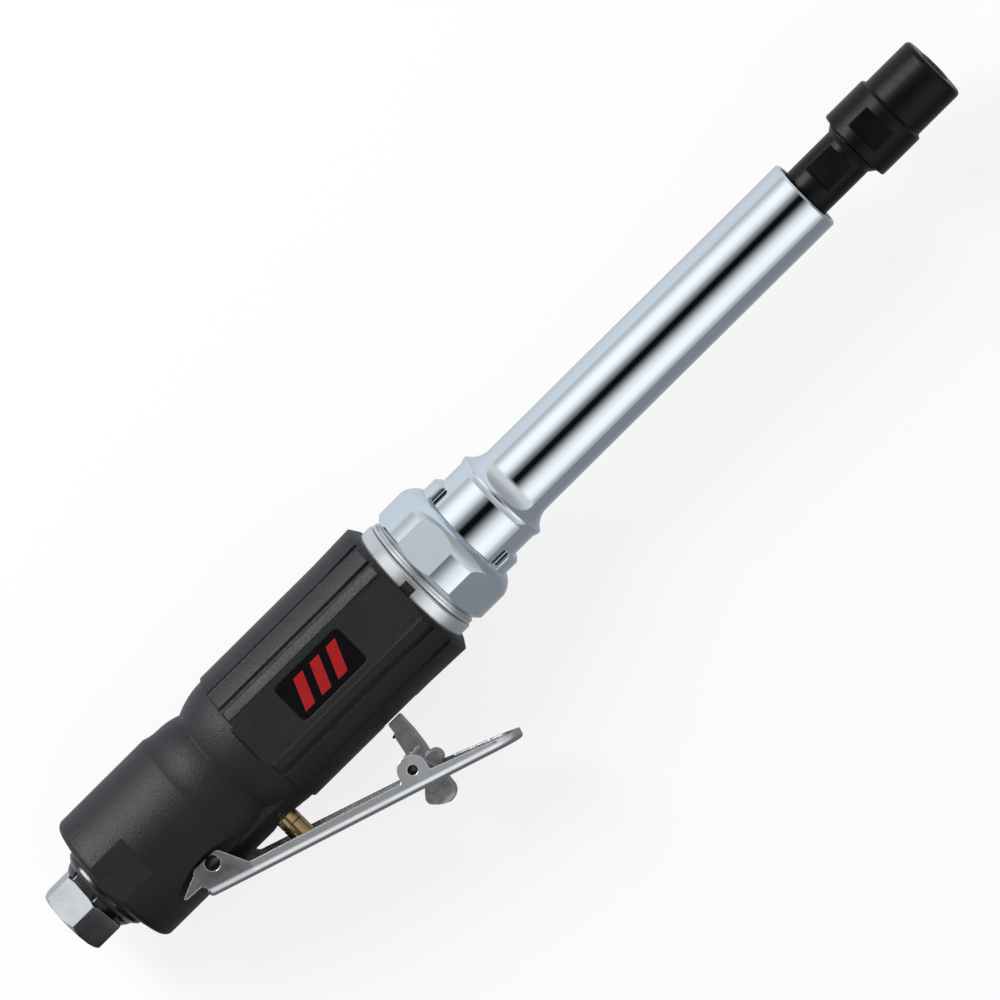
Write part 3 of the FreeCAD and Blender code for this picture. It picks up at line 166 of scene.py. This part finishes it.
# towards the tent's two ends its cloth is dimmer
endwise = add(tree, "Math", {"operation": "ABSOLUTE"}, in0=heading.outputs["X"])
ends = add(tree, "MapRange", {"interpolation_type": "SMOOTHSTEP"}, Value=endwise.outputs[0],
           From_Min=0.35, From_Max=0.95, To_Min=1.0, To_Max=0.55)
strength = add(tree, "Math", {"operation": "MULTIPLY"}, in0=ends.outputs[0], in1=tent_power)
tent_light = add(tree, "Background", Color=tent.outputs["Result"], Strength=strength.outputs[0])
backdrop = add(tree, "Background", Color=srgb("#F2F2F2"), Strength=1.0)
sky = add(tree, "MixShader", Fac=add(tree, "LightPath").outputs["Is Camera Ray"],
          in1=tent_light.outputs[0], in2=backdrop.outputs[0])
add(tree, "OutputWorld", Surface=sky.outputs[0])

# a soft box at the grip's +Y side, that the camera itself doesn't see
box_place, box_length, box_width, box_power = Vector((-0.15, 1.15, 0.75)), 0.9, 0.5, 26
grip_place = Vector((0.12, 0, 0))
key_box = set_out("key_box", bpy.data.lights.new("key_box", "AREA"))
key_box.data.shape = "RECTANGLE"
key_box.data.size, key_box.data.size_y = box_length, box_width
key_box.data.energy = box_power
key_box.location = box_place
key_box.rotation_mode = "QUATERNION"
key_box.rotation_quaternion = (grip_place - box_place).to_track_quat("-Z", "X")
key_box.visible_camera = False
# the box would show as a hard white patch in bright plating, so it lights everything else
lit_pieces = bpy.data.collections.new("lit_by_key_box")
for name, node in nodes.items():
    if name not in ("extension_tube", "clamp_nut", "front_collar", "nut_washer", "inlet_bushing"):
        lit_pieces.objects.link(node)
lit_pieces.objects.link(floor)
key_box.light_linking.receiver_collection = lit_pieces
bpy.context.scene.view_settings.view_transform = "Standard"

# a strip of black velvet beside the inlet, which only the plating's reflections see
flag_rear, flag_front, flag_side, flag_top = -0.09, 0.010, -0.045, 0.045
flag_mesh = bpy.data.meshes.new("black_flag")
flag_mesh.from_pydata(
    [(flag_rear, flag_side, height), (flag_front, flag_side, height),
     (flag_front, flag_side, flag_top), (flag_rear, flag_side, flag_top)],
    [], [(0, 1, 2, 3)])
flag = set_out("black_flag", flag_mesh)
flag.visible_camera = flag.visible_diffuse = flag.visible_shadow = False
velvet = bpy.data.materials.new("black_velvet")
tree = bare_tree(velvet)
pile = add(tree, "BsdfDiffuse", Color=srgb("#050505"))
add(tree, "OutputMaterial", Surface=pile.outputs[0])
flag_mesh.materials.append(velvet)

# ---------------------------------------------------------------- air inlet
# The hexagonal inlet bushing is turned steel, zinc plated, its zinc drawn darker than the collar's as
# painted shade on the hex; its screen is a punched stainless disc pressed against the shoulder behind the
# thread.


def fold_light(tree, where, facing, outward, face, radius):
    """The normal near a folded edge: with t the way from face - radius (0) to face (1) along outward,
    it is the old normal times sqrt(1 - t * t) plus outward times t, made one long."""
    depth = add(tree, "VectorMath", {"operation": "DOT_PRODUCT"}, in0=where, in1=outward)
    lean = add(tree, "MapRange", Value=depth.outputs["Value"], From_Min=face - radius, From_Max=face)
    squared = add(tree, "Math", {"operation": "MULTIPLY"}, in0=lean.outputs[0], in1=lean.outputs[0])
    rest = add(tree, "Math", {"operation": "SUBTRACT"}, in0=1.0, in1=squared.outputs[0])
    kept = add(tree, "Math", {"operation": "SQRT"}, in0=rest.outputs[0])
    way = add(tree, "VectorTransform", {"vector_type": "NORMAL", "convert_from": "OBJECT",
                                        "convert_to": "WORLD"}, Vector=outward)
    upright = add(tree, "VectorMath", {"operation": "SCALE"}, in0=facing, Scale=kept.outputs[0])
    leaning = add(tree, "VectorMath", {"operation": "SCALE"}, in0=way.outputs[0], Scale=lean.outputs[0])
    both = add(tree, "VectorMath", {"operation": "ADD"}, in0=upright.outputs[0], in1=leaning.outputs[0])
    return add(tree, "VectorMath", {"operation": "NORMALIZE"}, in0=both.outputs[0]).outputs[0]


def finish(name, colour, metallic, roughness, blotch_mm=9.0, blotch=0.12, grain_mm=0.25, grain=0.02,
           edge_mm=0.0, shine=0.5, bend=None):
    """A material with cloudy colour and roughness, a fine grain, and edges rounded for the light.
    blotch_mm and grain_mm are sizes on the piece, grain is its height in mm, and shine is how strongly
    a non-metal reflects. bend rounds the light over a fold: the way out of the sheet, its height there
    and a radius."""
    made = bpy.data.materials.new(name)
    tree = bare_tree(made)
    where = add(tree, "TexCoord").outputs["Object"]
    cloud = add(tree, "TexNoise", Vector=where, Scale=1000 / blotch_mm, Detail=3.0, Roughness=0.6)
    fine = add(tree, "TexNoise", Vector=where, Scale=1000 / grain_mm, Detail=2.0, Roughness=0.55)
    light = srgb(colour)
    dark = tuple(part * (1 - blotch * 2) for part in light[:3]) + (1.0,)
    tone = add(tree, "Mix", {"data_type": "RGBA"}, Factor=cloud.outputs["Fac"], in6=light, in7=dark)
    rough = add(tree, "MapRange", Value=cloud.outputs["Fac"], From_Min=0.3, From_Max=0.7,
                To_Min=roughness * (1 - blotch), To_Max=roughness * (1 + blotch * 1.5))
    skin = add(tree, "BsdfPrincipled", Base_Color=tone.outputs["Result"], Metallic=metallic,
               Roughness=rough.outputs[0], Specular_IOR_Level=shine)
    bumps = add(tree, "Bump", Strength=1.0, Distance=grain / 1000, Height=fine.outputs["Fac"])
    if edge_mm:
        facing = add(tree, "Bevel", {"samples": 4}, Radius=edge_mm / 1000).outputs[0]
        if bend:
            facing = fold_light(tree, where, facing, *bend)
        tree.links.new(facing, bumps.inputs["Normal"])
    tree.links.new(bumps.outputs[0], skin.inputs["Normal"])
    add(tree, "OutputMaterial", Surface=skin.outputs[0])
    return made


def coat_nodes(material, *names):
    """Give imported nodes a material."""
    for name in names:
        slots = nodes[name].data.materials
        slots.clear()
        slots.append(material)


# zinc, a darker copy of the collar's that paints shade on the hex: light grey, cloudy, with soft wide
# highlights
zinc = finish("zinc_plated_steel", "#CBD0D5", 1.0, 0.30, blotch_mm=6, blotch=0.10, grain_mm=0.3,
              grain=0.006, edge_mm=0.35)
coat_nodes(zinc, "inlet_bushing")
# stainless sheet: a darker, slightly warm grey
coat_nodes(finish("punched_stainless", "#A8A9AB", 1.0, 0.3), "inlet_screen")


def thread(name, radius, depth, pitch, start, end, turns_round=96):
    """The inside of a threaded bore: a sleeve whose inner radius at angle a and station x is
    radius - depth * |2 frac(x/pitch - a/2pi) - 1|, ridges fading out over the last half pitch."""
    rows_per_pitch, wall = 14, 0.0001
    along = np.linspace(start, end, int((end - start) / pitch * rows_per_pitch) + 1)
    angle = np.linspace(0, 2 * np.pi, turns_round, endpoint=False)
    x, a = np.meshgrid(along, angle, indexing="ij")
    phase = x / pitch - a / (2 * np.pi)
    ridge = np.abs(2 * (phase - np.floor(phase)) - 1)
    fade = np.clip(np.minimum(x - start, end - x) / (pitch / 2), 0, 1)
    inner = radius - depth * ridge * fade
    outer = np.full((2, turns_round), radius + wall)
    r = np.concatenate([inner, outer])
    x = np.concatenate([x, np.full((1, turns_round), end), np.full((1, turns_round), start)])
    a = np.concatenate([a, a[:2]])
    points = np.stack([x, r * np.sin(a), r * np.cos(a)], axis=-1).reshape(-1, 3)
    i, j = np.meshgrid(np.arange(len(r)), np.arange(turns_round), indexing="ij")
    after, beside = (i + 1) % len(r), (j + 1) % turns_round
    faces = np.stack([i * turns_round + j, i * turns_round + beside,
                      after * turns_round + beside, after * turns_round + j], axis=-1).reshape(-1, 4)
    mesh = bpy.data.meshes.new(name)
    mesh.from_pydata(points.tolist(), [], faces.tolist())
    mesh.shade_smooth()
    mesh.set_sharp_from_angle(angle=math.radians(40))
    return set_out(name, mesh)


# 18 threads to the inch, cut in the bushing's bore
inlet_thread = thread("inlet_thread", radius=0.0055, depth=0.0006, pitch=0.00141, start=0.0006, end=0.0144)
inlet_thread.data.materials.append(zinc)
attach(inlet_thread, "handle")

# ---------------------------------------------------------------- neck collar and silencer
# A glossy moulded nylon ring with the exhaust vents covers the end of the handle, and a pressed felt
# ring behind it quiets the air.

# glossy nylon: near black with small sharp highlights
nylon = finish("glossy_moulded_nylon", "#0C0C0D", 0.0, 0.22, blotch_mm=5, blotch=0.1, grain_mm=0.6,
               grain=0.01, edge_mm=0.3)
coat_nodes(nylon, "neck_collar")
# felt: warm grey, no shine at all, fibres about 0.4 mm apart
coat_nodes(finish("pressed_felt", "#7C7872", 0.0, 0.95, grain_mm=0.4, grain=0.3), "silencer_ring")

# ---------------------------------------------------------------- handle housing and label
# The grip is a moulded black composite sleeve with a fine leathery texture, over the motor; the label
# is a thin gloss plate stuck in its recess.

# moulded composite: charcoal with a broad dull highlight, broken up by leathery grain about 0.5 mm
# across, drawn a little coarser than the real spark-eroded texture
pebble_mm, swell_mm, worn_mm = 0.55, 3.2, 14
pebble_height, swell_height, housing_edge = 0.00017, 0.00012, 0.0006
composite = bpy.data.materials.new("black_moulded_composite")
tree = bare_tree(composite)
where = add(tree, "TexCoord").outputs["Object"]
pebble = add(tree, "TexNoise", Vector=where, Scale=1000 / pebble_mm, Detail=3.0, Roughness=0.6)
swell = add(tree, "TexNoise", Vector=where, Scale=1000 / swell_mm, Detail=1.0)
worn = add(tree, "TexNoise", Vector=where, Scale=1000 / worn_mm, Detail=4.0, Roughness=0.65)
shade = add(tree, "Mix", {"data_type": "RGBA"}, Factor=worn.outputs["Fac"],
            in6=srgb("#121215"), in7=srgb("#1B1B1F"))
dull = add(tree, "MapRange", Value=worn.outputs["Fac"], From_Min=0.3, From_Max=0.7, To_Min=0.40, To_Max=0.50)
soft = add(tree, "Bevel", {"samples": 4}, Radius=housing_edge)
low = add(tree, "Bump", Strength=0.5, Distance=swell_height, Height=swell.outputs["Fac"],
          Normal=soft.outputs[0])
high = add(tree, "Bump", Strength=1.0, Distance=pebble_height, Height=pebble.outputs["Fac"],
           Normal=low.outputs[0])
skin = add(tree, "BsdfPrincipled", Base_Color=shade.outputs["Result"], Roughness=dull.outputs[0],
           Specular_IOR_Level=0.22, Normal=high.outputs[0])
add(tree, "OutputMaterial", Surface=skin.outputs[0])
coat_nodes(composite, "handle_housing")
# printed plate: a flat black with a clear gloss
gloss_black = finish("printed_gloss_plate", "#0B0B0C", 0.0, 0.16, blotch=0.05, grain=0.002, edge_mm=0.1)
coat_nodes(gloss_black, "label_plate")


def plate(name, outline, low, high):
    """A flat plate: an outline in X and Y, in metres, between two heights, its top first."""
    outline = np.array(outline, float)
    count = len(outline)
    points = np.concatenate([np.column_stack([outline, np.full(count, high)]),
                             np.column_stack([outline, np.full(count, low)])])
    i = np.arange(count)
    walls = np.column_stack([i, i + count, (i + 1) % count + count, (i + 1) % count])
    top, underside = list(range(count)), list(range(2 * count - 1, count - 1, -1))
    mesh = bpy.data.meshes.new(name)
    mesh.from_pydata(points.tolist(), [], [top, underside] + walls.tolist())
    return set_out(name, mesh)


# red ink: a full warm red, flat and glossy
red_ink = finish("red_printed_ink", "#C01A1E", 0.0, 0.3, blotch=0.04, grain=0.002)
slant, stripe, stripe_pitch, half_height = 0.0036, 0.0034, 0.0060, 0.0042
first_stripe, sunk, proud = 0.0096, 0.00005, 0.00003
label_low, label_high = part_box("label_plate")
label_middle = (label_low + label_high) / 2
bottom, top = label_middle.y - half_height, label_middle.y + half_height
for number in range(3):
    left = label_middle.x - first_stripe + stripe_pitch * number
    outline = [(left, bottom), (left + stripe, bottom), (left + stripe + slant, top), (left + slant, top)]
    mark = plate("label_stripe_%d" % (number + 1), outline, label_high.z - sunk, label_high.z + proud)
    mark.data.materials.append(red_ink)
    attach(mark, "handle")

# ---------------------------------------------------------------- throttle valve
# A brass stem slides in a brass bushing, with a nitrile ring and an acetal poppet on a brass seat.

# turned brass: a browned gold with fine turning grain
brass = finish("turned_brass", "#BDA179", 1.0, 0.22, blotch_mm=4, grain_mm=0.2, grain=0.008, edge_mm=0.15)
coat_nodes(brass, "valve_stem", "valve_bushing", "valve_seat")
# nitrile is a dull black, acetal a milky white with a waxy shine
coat_nodes(finish("nitrile_rubber", "#151515", 0.0, 0.5), "stem_o_ring")
coat_nodes(finish("natural_acetal", "#DAD7CC", 0.0, 0.4), "valve_poppet")

# ---------------------------------------------------------------- vane motor, bearings, springs and pins
# Ground iron end plates and cylinder, a steel rotor with phenolic vanes, and four ball bearings, with
# the coupling to the output spindle; the springs and the two roll pins are here too.

# iron is a mid grey with a dull grind, alloy steel lighter and brighter, bearing steel nearly a mirror
ground_iron = finish("ground_iron", "#77787A", 1.0, 0.38, grain_mm=0.2, grain=0.01)
coat_nodes(ground_iron, "rear_end_plate", "motor_cylinder", "front_end_plate")
ground_steel = finish("ground_alloy_steel", "#8E9093", 1.0, 0.28)
coat_nodes(ground_steel, "rotor", "drive_coupling", "spacer_sleeve")
# phenolic shows brown cloth, the gasket a green-black card
coat_nodes(finish("cotton_phenolic", "#6B4426", 0.0, 0.6, grain_mm=0.5, grain=0.03), "rotor_vanes")
coat_nodes(finish("fibre_gasket", "#2B302B", 0.0, 0.8), "rear_gasket")
# spring wire is bright, the pins an oiled black with a soft sheen
spring_steel = finish("bright_spring_steel", "#9A9B9E", 1.0, 0.25, edge_mm=0.2)
coat_nodes(spring_steel, "valve_spring", "alignment_dowel")
black_pin = finish("oiled_black_spring_pin", "#161617", 0.7, 0.34, grain_mm=0.3, grain=0.01)
coat_nodes(black_pin, "lever_pin", "latch_pin")
bearing_steel = finish("ground_bearing_steel", "#B9BBBE", 1.0, 0.12)
bearing_pieces = [name for name in nodes if name.endswith(("_ring", "_balls")) and "bearing" in name]
coat_nodes(bearing_steel, *bearing_pieces)

# ---------------------------------------------------------------- front collar, washer and clamp nut
# Turned and zinc-plated steel, then a hexagonal nut in satin chrome that clamps the tube.

# the same zinc as the inlet's, drawn lighter as painted light where the collar and washer catch the lamps,
# the same soft clouds
zinc_painted_lighter = finish("zinc_plated_steel_painted_lighter", "#E2E5E8", 1.0, 0.30, blotch_mm=6, blotch=0.10,
                     grain_mm=0.3, grain=0.006, edge_mm=0.35)
coat_nodes(zinc_painted_lighter, "front_collar", "nut_washer")
# satin chrome: cool white, its reflections soft but still in stripes
nut_chrome = finish("satin_chrome", "#DAE5EE", 1.0, 0.10, blotch_mm=8, blotch=0.06, grain_mm=0.4,
                    grain=0.004, edge_mm=0.5)
coat_nodes(nut_chrome, "clamp_nut")

# ---------------------------------------------------------------- extension tube, spindle and collet
# Drawn steel tube, ground and bright chrome plated; out of it come the output spindle and the collet
# nut in black oxide, with the hardened collet inside the nut.

# bright chrome: a cool mirror that shows the tent's stripes sharply
tube_chrome = finish("bright_chrome", "#DAE3EA", 1.0, 0.03, blotch_mm=30, blotch=0.04, grain_mm=0.5,
                     grain=0.0015, edge_mm=0.35)
coat_nodes(tube_chrome, "extension_tube")
# black oxide under oil: a deep black with faint grey highlights
black_oxide = finish("oiled_black_oxide", "#060607", 0.0, 0.30, blotch_mm=7, blotch=0.12, grain_mm=0.35,
                     grain=0.01, edge_mm=0.45, shine=0.16)
coat_nodes(black_oxide, "bearing_retainer", "output_spindle", "collet_nut")
# hardened steel: a dark grey metal, dull from the quench
coat_nodes(finish("hardened_collet_steel", "#3B3B3D", 1.0, 0.35, edge_mm=0.2), "collet")

# ---------------------------------------------------------------- throttle lever and safety latch
# The lever is pressed steel sheet, zinc plated; the latch is a steel casting with a dull zinc plate,
# turned back by a spring of black wire.

# the fold between the lever's web and its cheeks is rounded for the light; the web's outer face lies
# web_offset from the roll pin's axis, square to the lever's slope at rest
lever_slope, web_offset, fold_radius = math.radians(17.67), 0.008, 0.0025
fold_out = (-math.sin(lever_slope), -math.cos(lever_slope), 0.0)
pin_low, pin_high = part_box("lever_pin")
pivot = (pin_low + pin_high) / 2
web_face = pivot.x * fold_out[0] + pivot.y * fold_out[1] + web_offset
# pressed sheet: bright silver with a bright line where it folds
lever_zinc = finish("pressed_zinc_sheet", "#E0E3E6", 1.0, 0.24, blotch_mm=7, blotch=0.12, grain_mm=0.35,
                    grain=0.004, edge_mm=0.5, bend=(fold_out, web_face, fold_radius))
coat_nodes(lever_zinc, "throttle_lever")
# cast and plated: a patchy mid grey, rough to the touch
latch_zinc = finish("cast_zinc_plate", "#B4B6B9", 1.0, 0.32, blotch_mm=2.5, blotch=0.22, grain_mm=0.5,
                    grain=0.05, edge_mm=0.5)
coat_nodes(latch_zinc, "safety_latch")
# black wire: dark, with a thin line of light along each turn
coat_nodes(finish("black_spring_wire", "#171718", 0.6, 0.35), "latch_spring")
